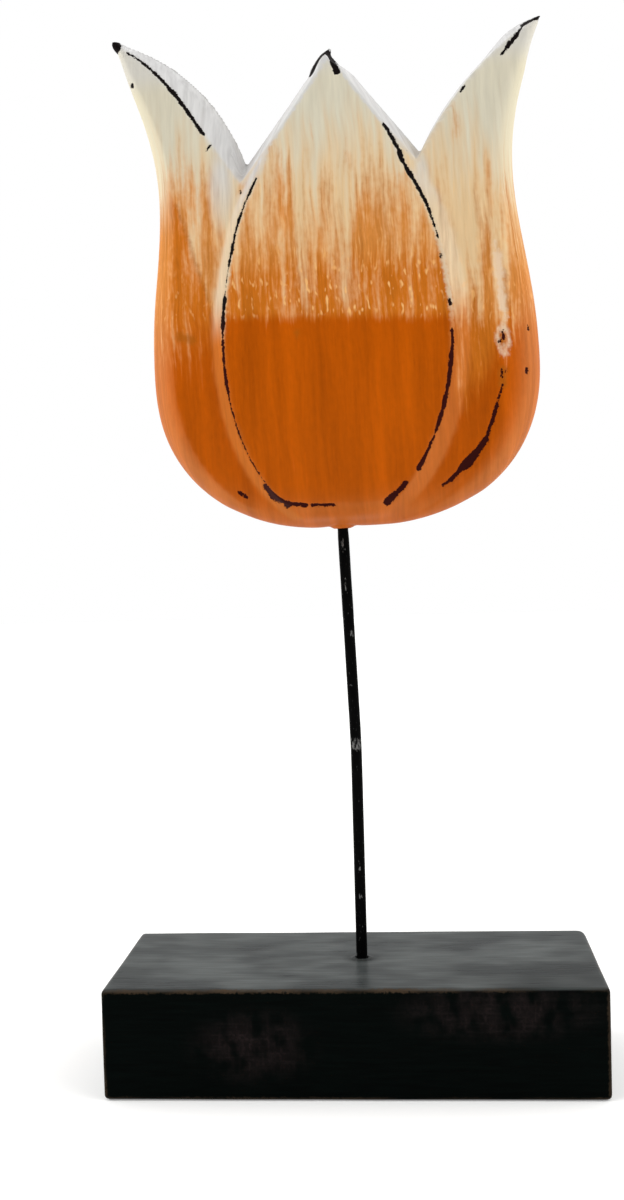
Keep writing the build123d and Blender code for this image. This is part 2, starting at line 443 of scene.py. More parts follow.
# Where the brush marks lie in the noise that draws them: the back's are far from the front's, and
# on the sides, found by weighing the parts of a normal, they run on round the edge
BEHIND_SHIFT = 60.0
BEHIND_DEPTHS = (-4, 4)
SIDE_DEPTH = 15.0
SIDE_WEIGHTS = (1, -1, -0.6)
SIDE_TURN = (-0.1, 0.3)
SIDE_ROUNDS = 3

# Noises of the flower's paint: the size of their features across, into and along the brush's way
WOBBLE_SIZES = (14.0, 14.0, 14.0)
BROAD_SIZES = (5.5, 20.0, 70.0)
NARROW_SIZES = (1.8, 20.0, 24.0)
HAIR_SIZES = (0.7, 20.0, 9.0)
MOTTLE_SIZES = (1.3, 20.0, 2.4)
DAB_SIZES = (1.3, 20.0, 3.2)
DAB_GROUP_SIZES = (7.0, 7.0, 7.0)
RAGGED_SIZES = (1.4, 1.4, 1.4)
FINE_SIZES = (0.5, 0.5, 0.5)

# Heights on the flower between which a colour comes in, or goes where the first is the larger
BAND_HEIGHTS = (-14, 16)
BAND_TAN_HEIGHTS = (44, 78)
GREY_HEIGHTS = (88, 124)
HAIR_HEIGHTS = (112, 88)
SIDE_HEIGHTS = (84, 106)
TIP_HEIGHTS = (128, 136)
WALL_CREAM_HEIGHTS = (52, 68)
WALL_WHITE_HEIGHTS = (84, 106)
STRIP_HEIGHTS = (44, 62)
STRIP_CREAM_HEIGHTS = (50, 62)
STRIP_WHITE_HEIGHTS = (96, 116)
UNDERCOAT_HEIGHTS = (50, 64)

# Values of a measure or noise between which a coat of the flower's paint comes in
THIN_EDGE = (0.15, 0.85)
TAN_EDGE = (0.2, 0.8)
CREAM_EDGE = (-0.05, 1.05)
HAIR_EDGE = (0.58, 0.74)
DAB_EDGE = (0.57, 0.72)
DAB_GROUP_EDGE = (0.38, 0.52)
SMUDGE_AND_SHADOW_EDGE = (-1.2, 0.7)
STRIP_EDGE = (1.3, 0.2)
SCRAPE_EDGE = (-0.75, 0.75)
BARE_AND_SHADED_EDGE = (-0.10, 0.10)

# How far each coat of the flower's paint covers what is under it
HAIR_COVER = 0.35
SIDE_COVER = 0.7
TIP_COVER = 0.5
WALL_COVER = 0.92
SMUDGE_AND_SHADOW_COVER = 0.7
STRIP_COVER = 0.8
RIM_COVER = 0.7
SCRAPE_COVER = 0.85

# How strongly the brush's lines show in thick and, on top of that, in thin orange
THICK_LINES = 0.45
THIN_LINES = 0.55

# Roughness of each paint, and how far brush marks, cream and scrapes stand up or lie deep
FLOWER_ROUGHNESS = 0.50
VEIL_ROUGHNESS = 0.12
STEM_ROUGHNESS = 0.32
BLOCK_ROUGHNESS = 0.30
BRUSH_RELIEF = 0.5
VEIL_RELIEF = 0.35
SCRAPE_RELIEF = 0.5

# Noises of the stem's and the block's paint, and the values between which their marks come in
STEM_PATCH_SIZES = (2.2, 2.2, 5.0)
STEM_FINE_SIZES = (0.45, 0.45, 0.9)
SCUFF_AND_GLINT_EDGE = (0.55, 1.35)
BLOCK_CLOUD_SIZES = (24.0, 13.0, 13.0)
BLOCK_BRUSH_SIZES = (12.0, 1.1, 1.0)
BLOCK_CROSS_SIZES = (0.9, 0.9, 4.5)
BLOCK_FINE_SIZES = (0.9, 0.9, 0.9)
BLOCK_BLOT_SIZES = (5.0, 5.0, 7.0)
CLOUD_EDGE = (0.30, 0.70)
BLOT_EDGE = (0.32, 0.60)
SCRATCH_EDGE = (0.40, 0.76)
SCRATCH_BREAKS = (0.25, 0.65)
SCRATCH_VEIL = 0.35
SCRATCH_LINES = 0.65
RUBBED_AND_HIGHLIGHT_EDGE = (1.3, 0.7)


class Finish:
    """A node material built up part by part; each call gives back a socket."""

    def __init__(self, name):
        self.material = bpy.data.materials.new(name)
        self.material.use_nodes = True
        self.tree = self.material.node_tree
        self.surface = self.tree.nodes["Principled BSDF"]
        self.noises = {}
        metres = self.add("ShaderNodeTexCoord").outputs["Object"]
        self.place = self.tint(metres, (1 / MM, 1 / MM, 1 / MM))

    def add(self, kind, inputs=None, **settings):
        made = self.tree.nodes.new(kind)
        for name, setting in settings.items():
            setattr(made, name, setting)
        for name, value in (inputs or {}).items():
            self.put(made.inputs[name], value)
        return made

    def put(self, socket, value):
        if isinstance(value, bpy.types.NodeSocket):
            self.tree.links.new(value, socket)
        else:
            socket.default_value = value

    def measure(self, name):
        """A number stored on the mesh's points."""
        return self.add("ShaderNodeAttribute", attribute_name=name).outputs["Fac"]

    def height(self):
        """Height in the piece's own frame."""
        return self.add("ShaderNodeSeparateXYZ", {"Vector": self.place}).outputs["Z"]

    def math(self, operation, first, second=0.0):
        return self.add("ShaderNodeMath", {0: first, 1: second}, operation=operation).outputs[0]

    def ease(self, value, low, high):
        """Rises smoothly from 0 at low to 1 at high; falls where low is the larger."""
        limits = {"Value": value, "From Min": low, "From Max": high}
        return self.add("ShaderNodeMapRange", limits, interpolation_type="SMOOTHSTEP").outputs["Result"]

    def mix(self, share, first, second):
        return self.add("ShaderNodeMix", {0: share, 6: first, 7: second}, data_type="RGBA").outputs[2]

    def tint(self, colour, share):
        """The colour made lighter or darker by a number round 1."""
        return self.add("ShaderNodeVectorMath", {0: colour, 1: share}, operation="MULTIPLY").outputs[0]

    def grain(self, name, sizes, detail=2.0, shift=0.0, place=None):
        """Noise round 0.5, with features of a size along each axis; kept under its name."""
        scale = tuple(1 / size for size in sizes)
        moved = {"Vector": place or self.place, "Location": (shift, shift, shift), "Scale": scale}
        stretched = self.add("ShaderNodeMapping", moved).outputs["Vector"]
        inputs = {"Vector": stretched, "Scale": 1.0, "Detail": detail}
        self.noises[name] = self.add("ShaderNodeTexNoise", inputs).outputs["Fac"]
        return self.noises[name]

    def varied(self, level, **shares):
        """A level that named noises move up and down, each by its own share."""
        for name, share in shares.items():
            around_zero = self.math("SUBTRACT", self.noises[name], 0.5)
            level = self.math("ADD", level, self.math("MULTIPLY", around_zero, share))
        return level

    def total(self, *values):
        result = values[0]
        for value in values[1:]:
            result = self.math("ADD", result, value)
        return result

    def times(self, *values):
        result = values[0]
        for value in values[1:]:
            result = self.math("MULTIPLY", result, value)
        return result

    def rising(self, heights):
        """Rises smoothly from 0 at the first height to 1 at the second."""
        return self.ease(self.height(), *heights)

    def by_height(self, heights, low, high):
        """One colour that gives way to another between two heights."""
        return self.mix(self.rising(heights), low, high)

    def finish(self, colour, roughness, height, relief, shine):
        """Joins the parts to the surface: relief is the height of the bump in millimetres."""
        bump = self.add("ShaderNodeBump", {"Height": height, "Distance": relief * MM, "Strength": 1.0})
        self.put(self.surface.inputs["Base Color"], colour)
        self.put(self.surface.inputs["Roughness"], roughness)
        self.put(self.surface.inputs["Specular IOR Level"], shine)
        self.put(self.surface.inputs["Normal"], bump.outputs["Normal"])
        return self.material


def flower_frame():
    """The flower's own frame, worked out from the joint that it turns on."""
    turn = frame["joints"][0]
    up = Vector(turn["axis"])
    across = Vector((up.z, 0, -up.x))
    foot = Vector(turn["pos_m"]) + across * HOLE_OFFSET * MM
    return Matrix.Translation(foot) @ Matrix((across, (0, 1, 0), up)).transposed().to_4x4()


def cad_copy(node, place):
    """A joined-up copy of a CAD node's mesh in a piece's own frame, in millimetres."""
    source = bmesh.new()
    source.from_mesh(frame["nodes"][node].data)
    source.transform(Matrix.Scale(1 / MM, 4) @ place.inverted())
    bmesh.ops.remove_doubles(source, verts=source.verts, dist=MERGE_DISTANCE)
    return source


def edge_points(source, inward=False):
    """Points along the edges that turn sharply outwards, or inwards."""
    found = []
    for edge in source.edges:
        turn = edge.calc_face_angle_signed(0)
        if (-turn if inward else turn) < EDGE_TURN:
            continue
        first, last = (vertex.co for vertex in edge.verts)
        steps = math.ceil((last - first).length / EDGE_STEP)
        found += [first.lerp(last, step / steps) for step in range(steps + 1)]
    return found


def nearest(points, targets):
    """For each point, the nearest target and how far off it is."""
    tree = KDTree(len(targets))
    for index, target in enumerate(targets):
        tree.insert(target, index)
    tree.balance()
    found = [tree.find(point) for point in points]
    return np.array([hit[0] for hit in found]), np.array([hit[2] for hit in found])


def even_mesh(source, name, voxel):
    """A mesh of even small faces over a closed CAD mesh."""
    rough = bpy.data.meshes.new(name + "_rough")
    source.to_mesh(rough)
    holder = bpy.data.objects.new(name + "_rough", rough)
    scene.collection.objects.link(holder)
    remesh = holder.modifiers.new("even", "REMESH")
    remesh.mode = "VOXEL"
    remesh.voxel_size = voxel
    evaluated = holder.evaluated_get(bpy.context.evaluated_depsgraph_get())
    mesh = bpy.data.meshes.new_from_object(evaluated)
    mesh.name = name
    bpy.data.objects.remove(holder)
    bpy.data.meshes.remove(rough)
    return mesh


def read_points(mesh):
    flat = np.empty(len(mesh.vertices) * 3, np.float32)
    mesh.vertices.foreach_get("co", flat)
    return flat.reshape(-1, 3).astype(float)


def write_points(mesh, points):
    mesh.vertices.foreach_set("co", points.astype(np.float32).ravel())
    mesh.update()


def read_normals(mesh):
    flat = np.empty(len(mesh.vertices) * 3, np.float32)
    mesh.vertex_normals.foreach_get("vector", flat)
    return flat.reshape(-1, 3).astype(float)


def store(mesh, name, values):
    mesh.attributes.new(name, "FLOAT", "POINT").data.foreach_set("value", values.astype(np.float32))


def spread(mesh, values, rounds, share):
    """Values on a mesh's points, each drawn some way towards the mean of its neighbours."""
    ends = np.empty(len(mesh.edges) * 2, np.int32)
    mesh.edges.foreach_get("vertices", ends)
    first, last = ends.reshape(-1, 2).T
    size = len(values)
    count = np.bincount(first, minlength=size) + np.bincount(last, minlength=size)
    columns = values.reshape(size, -1).copy()
    for _ in range(rounds):
        for column in columns.T:
            total = np.bincount(first, column[last], size) + np.bincount(last, column[first], size)
            column += share * (total / count - column)
    return columns.reshape(values.shape)


def waves(points, size, seed):
    """Smooth noise from about -1 to 1 at each point, with features of a size."""
    shift = Vector((seed, 2 * seed, 3 * seed))
    return np.array([noise.noise(Vector(point) / size + shift) for point in points])


def ramp(values, low, high):
    """Rises smoothly from 0 at low to 1 at high."""
    share = np.clip((values - low) / (high - low), 0, 1)
    return share * share * (3 - 2 * share)


def piece(mesh, name, place, node, body, material):
    """Puts a finished mesh in the scene in the place of a CAD node."""
    mesh.transform(Matrix.Scale(MM, 4))
    mesh.materials.clear()
    mesh.materials.append(material)
    mesh.shade_smooth()
    made = bpy.data.objects.new(name, mesh)
    scene.collection.objects.link(made)
    made.matrix_world = place
    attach(made, body)
    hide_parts(node)
    return made


def on_surface(mesh, source):
    """A mesh's points moved onto the CAD surface, and the CAD normal at each."""
    tree = BVHTree.FromBMesh(source)
    hits = [tree.find_nearest(point) for point in read_points(mesh)]
    return np.array([hit[0] for hit in hits]), np.array([hit[1] for hit in hits])


def stroke_off(x, z, start, end):
    """Distance of each place on the flower from a straight stroke across its front."""
    way = np.subtract(end, start)
    along = np.clip(((x - start[0]) * way[0] + (z - start[1]) * way[1]) / (way @ way), 0, 1)
    return np.hypot(x - start[0] - along * way[0], z - start[1] - along * way[1])


def edge_marks(x, z, edge_off, stretches, dashes):
    """How deep each place lies inside the dark marks along an edge; below 0 is outside them."""
    depth = np.full(len(x), -WEAR_REACH)
    for start, end, half_width in stretches:
        near = ramp(stroke_off(x, z, start, end), WEAR_REACH, WEAR_REACH / 2)
        depth = np.maximum(depth, np.where(near > 0, half_width * near * dashes - edge_off, -WEAR_REACH))
    return depth


def free_marks(x, z, strokes, dashes=1):
    """How deep each place lies inside strokes; below 0 is outside them."""
    depths = [half_width * dashes - stroke_off(x, z, start, end) for start, end, half_width in strokes]
    return np.maximum(np.max(depths, axis=0), -WEAR_REACH)


def petal_reach(z):
    """Half width of the centre petal at a height."""
    below = np.sqrt(np.clip(1 - ((PETAL_WIDEST - z) / PETAL_WIDEST) ** 2, 0, 1))
    above = 1 - np.clip((z - PETAL_WIDEST) / (PETAL_POINT - PETAL_WIDEST), 0, 1) ** 2
    return PETAL_HALF_WIDTH * np.where(z < PETAL_WIDEST, below, above)


def by_petal(x, z, left, centre, right):
    """Takes each place's value from that of the petal it lies on."""
    return np.select([x < -petal_reach(z), x > petal_reach(z)], [left, right], centre)


def brushing(x, z):
    """Where the orange is thin, where it is tan, and the share of the surface that cream covers."""
    left_thin = ramp(z, LEFT_BREAK - LEFT_DRAWN, LEFT_BREAK + LEFT_DRAWN)
    right_break = RIGHT_BREAK_INNER + RIGHT_BREAK_SLOPE * np.maximum(x - RIGHT_INNER_PLACE, 0)
    right_thin = ramp(z, right_break - RIGHT_DRAWN, right_break + RIGHT_DRAWN)
    centre_break = CENTRE_BREAK + CENTRE_BREAK_SLOPE * x
    centre_thin = ramp(z, centre_break - CENTRE_DRAWN, centre_break + CENTRE_DRAWN)
    outward = np.clip((-x - LEFT_INNER_PLACE) / (LEFT_OUTER_PLACE - LEFT_INNER_PLACE), 0, 1)
    left_edge = LEFT_TAN_INNER + (LEFT_TAN_OUTER - LEFT_TAN_INNER) * outward
    left_tan = ramp(z, left_edge - LEFT_TAN_DRAWN, left_edge + LEFT_TAN_DRAWN)
    thin = by_petal(x, z, left_thin, centre_thin, right_thin)
    tan = by_petal(x, z, left_tan, ramp(z, *CENTRE_TAN), ramp(z, *RIGHT_TAN))
    left_cream = np.maximum(ramp(z, *LEFT_CREAM), LEFT_TAN_CREAM) * left_tan
    wedge = ramp(WEDGE_X + (z - WEDGE_Z) * WEDGE_SLOPE - x, -WEDGE_DRAWN, WEDGE_DRAWN)
    right_cream = np.maximum(ramp(z, *RIGHT_CREAM), WEDGE_CREAM * wedge * right_thin)
    cream = by_petal(x, z, left_cream, ramp(z, *CENTRE_CREAM), right_cream)
    cream += CLOSED_SHARE * ramp(z, *CLOSED_CREAM)
    for middle, low, high, half_width, added in COLUMNS:
        beside = np.exp(-(((x - middle) / half_width) ** 2))
        foot = ramp(z, low - COLUMN_FOOT_DRAWN, low + COLUMN_FOOT_DRAWN)
        head = ramp(z, high + COLUMN_HEAD_DRAWN, high - COLUMN_HEAD_DRAWN)
        cream += added * beside * foot * head
    return thin, tan, np.maximum(cream, 0)


def brush_noises(paint):
    """Noises drawn out along the way that the brush went, and even ones for wear."""
    paint.grain("wobble", WOBBLE_SIZES, shift=23.0)
    across = paint.varied(paint.measure("across"), wobble=1.8)
    flat = {"X": across, "Y": paint.measure("behind"), "Z": paint.height()}
    brushed = paint.add("ShaderNodeCombineXYZ", flat).outputs["Vector"]
    paint.grain("broad", BROAD_SIZES, place=brushed)
    paint.grain("narrow", NARROW_SIZES, shift=3.0, place=brushed)
    paint.grain("hair", HAIR_SIZES, shift=7.0, place=brushed)
    paint.grain("mottle", MOTTLE_SIZES, shift=29.0, place=brushed)
    paint.grain("dabs", DAB_SIZES, detail=1.0, shift=17.0, place=brushed)
    paint.grain("groups", DAB_GROUP_SIZES, shift=19.0)
    paint.grain("ragged", RAGGED_SIZES, shift=11.0)
    paint.grain("fine", FINE_SIZES, shift=13.0)


def orange_coat(paint, thin, tan):
    """Orange, lighter where it is thin or tan, painted lighter on the edge bands for the light on the sides,
    with the brush's hairs in it.
    """
    orange = paint.mix(thin, DEEP_ORANGE, MID_ORANGE)
    orange = paint.mix(paint.times(thin, tan), orange, TAN_ORANGE)
    # Painted light: the edge bands turned to the sides are lighter orange
    band = paint.times(paint.measure("band"), paint.rising(BAND_HEIGHTS))
    orange = paint.mix(band, orange, paint.by_height(BAND_TAN_HEIGHTS, BAND_LIT_ORANGE, TAN_ORANGE))
    line_share = paint.total(THICK_LINES, paint.times(thin, THIN_LINES))
    lines = paint.times(paint.varied(0.0, narrow=0.6, hair=0.5), line_share)
    return paint.tint(orange, paint.varied(paint.total(1.0, lines), broad=0.7, mottle=0.2))


def cream_coat(paint):
    """The cream that is brushed over the orange, greyer towards the tips."""
    greyed = paint.varied(paint.height(), broad=40.0, narrow=40.0)
    cream = paint.mix(paint.ease(greyed, *GREY_HEIGHTS), CREAM, GREY_WHITE)
    return paint.tint(cream, paint.varied(1.0, hair=0.16, narrow=0.3))


def add_hairs_and_dabs(paint, coat, thin_tan):
    """Single bright hairs on the thin tan paint, and groups of dabs where the brush was lifted."""
    hairs = paint.times(paint.ease(paint.noises["hair"], *HAIR_EDGE), thin_tan, paint.rising(HAIR_HEIGHTS))
    coat = paint.mix(paint.times(hairs, HAIR_COVER), coat, HAIR_CREAM)
    dabs = paint.ease(paint.noises["dabs"], *DAB_EDGE)
    groups = paint.ease(paint.noises["groups"], *DAB_GROUP_EDGE)
    return paint.mix(paint.times(dabs, groups, paint.measure("dabs")), coat, DAB_ORANGE)


def add_pale_sides(paint, coat):
    """Cream on the upper outer sides, and white towards the tips."""
    sides = paint.ease(paint.varied(paint.height(), narrow=30.0), *SIDE_HEIGHTS)
    coat = paint.mix(paint.times(paint.measure("band"), sides, SIDE_COVER), coat, SIDE_CREAM)
    return paint.mix(paint.times(paint.rising(TIP_HEIGHTS), TIP_COVER), coat, WALL_WHITE)


def add_walls(paint, coat):
    """The walls beside the centre petal and in the gaps: lighter orange below, painted light for the light
    on these side-facing faces, then cream, then white.
    """
    wall = paint.by_height(WALL_CREAM_HEIGHTS, WALL_LIT_ORANGE, WALL_CREAM)
    wall = paint.by_height(WALL_WHITE_HEIGHTS, wall, WALL_WHITE)
    wall = paint.tint(wall, paint.varied(1.0, hair=0.40, narrow=0.4))
    return paint.mix(paint.times(paint.measure("wall"), WALL_COVER), coat, wall)


def add_smudges_and_edge_strips(paint, coat):
    """Soft smudges and a painted shadow, pale strips on the arrises that are partly paint sanded thin and
    partly a painted highlight, and grey knife edges.
    """
    # Brown smudges, one of them a painted shadow beside the pale scrape
    smudge_and_shadow = paint.ease(paint.varied(paint.measure("smudge_and_shadow"), ragged=1.6), *SMUDGE_AND_SHADOW_EDGE)
    coat = paint.mix(paint.times(smudge_and_shadow, SMUDGE_AND_SHADOW_COVER), coat, SMUDGE_AND_SHADOW_BROWN)
    # Pale strips along the centre petal's arrises: partly paint sanded thin, partly a painted highlight
    strip = paint.ease(paint.varied(paint.measure("arris"), ragged=2.0), *STRIP_EDGE)
    pale = paint.by_height(STRIP_CREAM_HEIGHTS, TAN_ORANGE, WALL_CREAM)
    pale = paint.by_height(STRIP_WHITE_HEIGHTS, pale, WALL_WHITE)
    coat = paint.mix(paint.times(strip, paint.rising(STRIP_HEIGHTS), STRIP_COVER), coat, pale)
    rim = paint.ease(paint.varied(paint.measure("rim"), fine=0.8), RIM_WIDTH, 0)
    return paint.mix(paint.times(rim, RIM_COVER), coat, RIM_GREY)


def flower_paint():
    """Orange coat, cream dry brushing, pale strips on the arrises that are partly a painted highlight, dark
    undercoat on the worn arrises with a painted shadow in a groove, and painted light on the side bands and
    walls.
    """
    paint = Finish("flower_paint")
    brush_noises(paint)
    thin = paint.ease(paint.varied(paint.measure("thin"), narrow=0.7, hair=0.5), *THIN_EDGE)
    tan = paint.ease(paint.varied(paint.measure("tan"), narrow=0.7, hair=0.5), *TAN_EDGE)
    streaks = paint.varied(paint.measure("cream"), broad=1.4, narrow=1.7, hair=0.5, mottle=0.6)
    veil = paint.times(paint.ease(streaks, *CREAM_EDGE), thin)
    coat = paint.mix(veil, orange_coat(paint, thin, tan), cream_coat(paint))
    coat = add_hairs_and_dabs(paint, coat, paint.times(thin, tan))
    coat = add_pale_sides(paint, coat)
    coat = add_walls(paint, coat)
    coat = add_smudges_and_edge_strips(paint, coat)

    # Pale scrapes, and the dark undercoat, which low on the left also draws a painted shadow in a groove
    torn = paint.varied(paint.measure("pale"), ragged=1.8, mottle=1.6)
    scraped = paint.times(paint.ease(torn, *SCRAPE_EDGE), SCRAPE_COVER)
    coat = paint.mix(scraped, coat, SCRAPE_CREAM)
    bare_and_shaded = paint.ease(paint.varied(paint.measure("bare_and_shaded"), fine=0.8, ragged=0.9), *BARE_AND_SHADED_EDGE)
    colour = paint.mix(bare_and_shaded, coat, paint.by_height(UNDERCOAT_HEIGHTS, RED_UNDERCOAT_AND_SHADE, UNDERCOAT))

    roughness = paint.total(paint.varied(FLOWER_ROUGHNESS, hair=0.16), paint.times(veil, VEIL_ROUGHNESS))
    brushed = [paint.times(paint.noises[name], BRUSH_RELIEF) for name in ("hair", "narrow")]
    raised = paint.total(*brushed, paint.times(veil, VEIL_RELIEF))
    lost = paint.total(bare_and_shaded, paint.times(scraped, SCRAPE_RELIEF))
    return paint.finish(colour, roughness, paint.math("SUBTRACT", raised, lost), relief=0.10, shine=0.03)


def shape_tips(points):
    """The points of a mesh with the flower's tips as the photograph shows them."""
    x, y, z = points.T
    leaning = ramp(z, *CENTRE_LEAN_HEIGHTS) * ramp(z, *CENTRE_POINT_HEIGHTS)
    leaning *= np.abs(x) < CENTRE_TIP_HALF_WIDTH
    at_tip = ramp(np.hypot(x - RIGHT_TIP[0], z - RIGHT_TIP[1]), RIGHT_TIP_REACH, 0)
    at_edge = ramp(np.hypot(x - RIGHT_EDGE[0], z - RIGHT_EDGE[1]), RIGHT_EDGE_REACH, 0)
    at_edge *= ramp(np.abs(y), RIGHT_EDGE_DEPTH, 0)
    shifts = ((leaning, CENTRE_LEAN), (at_tip, RIGHT_TIP_SHIFT), (at_edge, RIGHT_EDGE_SHIFT))
    return points + sum(np.outer(share, shift) for share, shift in shifts)


def clear_of_hole(spots):
    """Those of the places that don't lie on the edges of the stem's hole."""
    rim = HOLE_RADIUS + HOLE_MARGIN
    return [spot for spot in spots if math.hypot(spot.x + HOLE_OFFSET, spot.y) > rim]


def hole_distance(points):
    """How far each point lies from the middle line of the stem's hole."""
    return np.hypot(points[:, 0] + HOLE_OFFSET, points[:, 1])


def flower_form(mesh, points, edges):
    """The points with crisp edges, softened a little, with shaped tips and a smooth heel."""
    edge_place, edge_off = nearest(points, edges)
    points = np.where((edge_off < EDGE_GRIP)[:, None], edge_place, points)
    points = shape_tips(spread(mesh, points, SOFTENING_ROUNDS, SOFTENING_SHARE))
    off_hole = ramp(hole_distance(points), HOLE_RADIUS + HOLE_MARGIN, BEAD_REACH)
    under = ramp(points[:, 2], *HEEL_HEIGHTS) * off_hole
    return points + under[:, None] * (spread(mesh, points, HEEL_ROUNDS, SPREAD_SHARE) - points)


def worn_and_shaded_marks(points, arris_line):
    """How deep each place lies in the dark marks, in the pale scrapes and in the smudges; a thin dark mark
    low on the left and one of the smudges are painted shadows.
    """
    x, y, z = points.T
    dashes = DASH_LEVEL + DASH_SWING * waves(points, DASH_LENGTH, DASH_SEED)
    dark = edge_marks(x, z, nearest(points, arris_line)[1], WORN_AND_SHADED_ARRISES, dashes)
    dark = np.maximum(dark, free_marks(x, z, WORN_LINES, dashes))
    dark = np.maximum(dark, free_marks(x, z, DARK_TIPS))
    chip_off = np.hypot((x - CHIP_PLACE[0]) / CHIP_HALF_WIDTH, (z - CHIP_PLACE[1]) / CHIP_HALF_HEIGHT)
    chip = CHIP_RING - CHIP_HALF_WIDTH * np.abs(chip_off - 1)
    pale = np.maximum(free_marks(x, z, PALE_SCRAPES), chip)
    on_front = (free_marks(x, z, DARK_SPECKS), pale, free_marks(x, z, SMUDGES_AND_SHADOW))
    specks, pale, smudge_and_shadow = (np.where(y < 0, depth, -WEAR_REACH) for depth in on_front)
    return np.maximum(dark, specks), pale, smudge_and_shadow


def carve(mesh, points, bare_and_shaded, pale):
    """Writes the points moved by knife waves, wear, the left tip's fullness and a bead round the stem."""
    write_points(mesh, points)
    normals = read_normals(mesh)
    hole_off = hole_distance(points)
    sink = WEAR_SINK * (ramp(bare_and_shaded, *BARE_AND_SHADED_SINK) + ramp(pale, *PALE_SINK))
    carved = CARVING_HEIGHT * waves(points, CARVING_WAVE, CARVING_SEED) - sink
    off_left = np.hypot(points[:, 0] - LEFT_TIP[0], points[:, 2] - LEFT_TIP[1])
    carved += LEFT_TIP_FULLNESS * ramp(off_left, LEFT_TIP_REACH, 0)
    carved *= ramp(hole_off, HOLE_RADIUS + HOLE_LIP, BEAD_REACH)
    carved += BEAD_HEIGHT * ramp(hole_off, BEAD_REACH, HOLE_RADIUS) * ramp(normals[:, 2], *BEAD_TURN)
    moved = points + normals * carved[:, None]

    # The stem's hole keeps its size
    in_hole = (hole_off < HOLE_RADIUS + HOLE_MARGIN / 2) & (points[:, 2] < HOLE_DEPTH - HOLE_MARGIN)
    push = np.where(in_hole, HOLE_RADIUS / np.maximum(hole_off, MERGE_DISTANCE), 1)
    moved[:, 0] = (moved[:, 0] + HOLE_OFFSET) * push - HOLE_OFFSET
    moved[:, 1] *= push
    write_points(mesh, moved)


def wall_shares(mesh, points, cad_normals, crease_line):
    """Share of each place that is painted as a wall of the centre petal or of a gap."""
    x, y, z = points.T
    near_crease = nearest(points, crease_line)[1] < WALL_WIDTH
    petal_wall = (np.abs(cad_normals[:, 0]) > WALL_TURN) & near_crease & (z < WALL_TOP)
    gap_wall = (np.abs(cad_normals[:, 1]) < GAP_TURN) & (cad_normals[:, 2] > GAP_RISE) & (z > GAP_BOTTOM)
    right_share = RIGHT_WALL_LOW + (RIGHT_WALL_HIGH - RIGHT_WALL_LOW) * ramp(z, *RIGHT_WALL_HEIGHTS)
    walls = np.where(petal_wall & (x > 0), right_share, petal_wall | gap_wall)
    walls = spread(mesh, walls, WALL_ROUNDS, SPREAD_SHARE)
    for middle, level, half_width, half_height, share in NOTCH_PATCHES:
        patch_off = np.hypot((x - middle) / half_width, (z - level) / half_height)
        walls = np.maximum(walls, share * ramp(patch_off, *PATCH_EDGE) * ramp(y, *PATCH_DEPTHS))
    return walls


def store_brushing(mesh, points, cad_normals, walls):
    """Stores where each coat of the flower's paint lies, and the way that the brush went."""
    x, y, z = points.T
    turned = np.abs(cad_normals)
    band = ramp(turned[:, 1], *BAND_TURN) * (1 - walls)
    store(mesh, "wall", walls)
    store(mesh, "band", spread(mesh, band, BAND_ROUNDS, SPREAD_SHARE))
    for name, share in zip(("thin", "tan", "cream"), brushing(x, z)):
        store(mesh, name, spread(mesh, share, COAT_ROUNDS, SPREAD_SHARE))
    above_break = ramp(z - CENTRE_BREAK_SLOPE * x, *DAB_LOW_HEIGHTS)
    by_place = np.where(np.abs(x) < petal_reach(z), 1, DAB_SIDE_SHARE)
    store(mesh, "dabs", above_break * ramp(z, *DAB_HIGH_HEIGHTS) * by_place)
    side_on = spread(mesh, ramp(turned @ SIDE_WEIGHTS, *SIDE_TURN), SIDE_ROUNDS, SPREAD_SHARE)
    store(mesh, "across", x + np.sign(x) * side_on * np.maximum(SIDE_DEPTH - np.abs(y), 0))
    store(mesh, "behind", BEHIND_SHIFT * ramp(y, *BEHIND_DEPTHS))


def make_flower():
    """The carved bloom: the CAD form with crisp but worn arrises, knife waves and paint measures."""
    place = flower_frame()
    source = cad_copy("tulip_head", place)
    mesh = even_mesh(source, "tulip_bloom", BLOOM_VOXEL)
    points, cad_normals = on_surface(mesh, source)
    edges = clear_of_hole(edge_points(source))
    crease_line = clear_of_hole(edge_points(source, inward=True))
    source.free()
    arris_line = [spot for spot in edges if abs(spot.y) > RIM_DEPTH]
    rim_line = [spot for spot in edges if abs(spot.y) <= RIM_DEPTH]
    petal_line = [spot for spot in arris_line if abs(spot.x) < petal_reach(spot.z) + PETAL_MARGIN]

    points = flower_form(mesh, points, edges)
    bare_and_shaded, pale, smudge_and_shadow = worn_and_shaded_marks(points, arris_line)
    carve(mesh, points, bare_and_shaded, pale)
    store_brushing(mesh, points, cad_normals, wall_shares(mesh, points, cad_normals, crease_line))
    store(mesh, "rim", np.minimum(nearest(points, rim_line)[1], WEAR_REACH))
    store(mesh, "arris", np.minimum(nearest(points, petal_line)[1], WEAR_REACH))
    store(mesh, "smudge_and_shadow", smudge_and_shadow)
    store(mesh, "bare_and_shaded", bare_and_shaded)
    store(mesh, "pale", pale)
    piece(mesh, "tulip_bloom", place, "tulip_head", "flower", flower_paint())


def stem_paint():
    """Black paint on a drawn steel rod, with one scuffed patch and a few painted glints."""
    paint = Finish("stem_paint")
    patches = paint.grain("patches", STEM_PATCH_SIZES)
    fine = paint.grain("fine", STEM_FINE_SIZES, shift=5.0)
    scuff_and_glint = paint.ease(paint.varied(paint.measure("scuff_and_glint"), fine=3.4), *SCUFF_AND_GLINT_EDGE)
    colour = paint.mix(patches, STEM_BLACK, STEM_GREY)
    colour = paint.mix(scuff_and_glint, colour, SCUFF_AND_GLINT_GREY)
    roughness = paint.varied(STEM_ROUGHNESS, fine=0.22)
    return paint.finish(colour, roughness, paint.total(patches, fine), relief=0.06, shine=0.015)


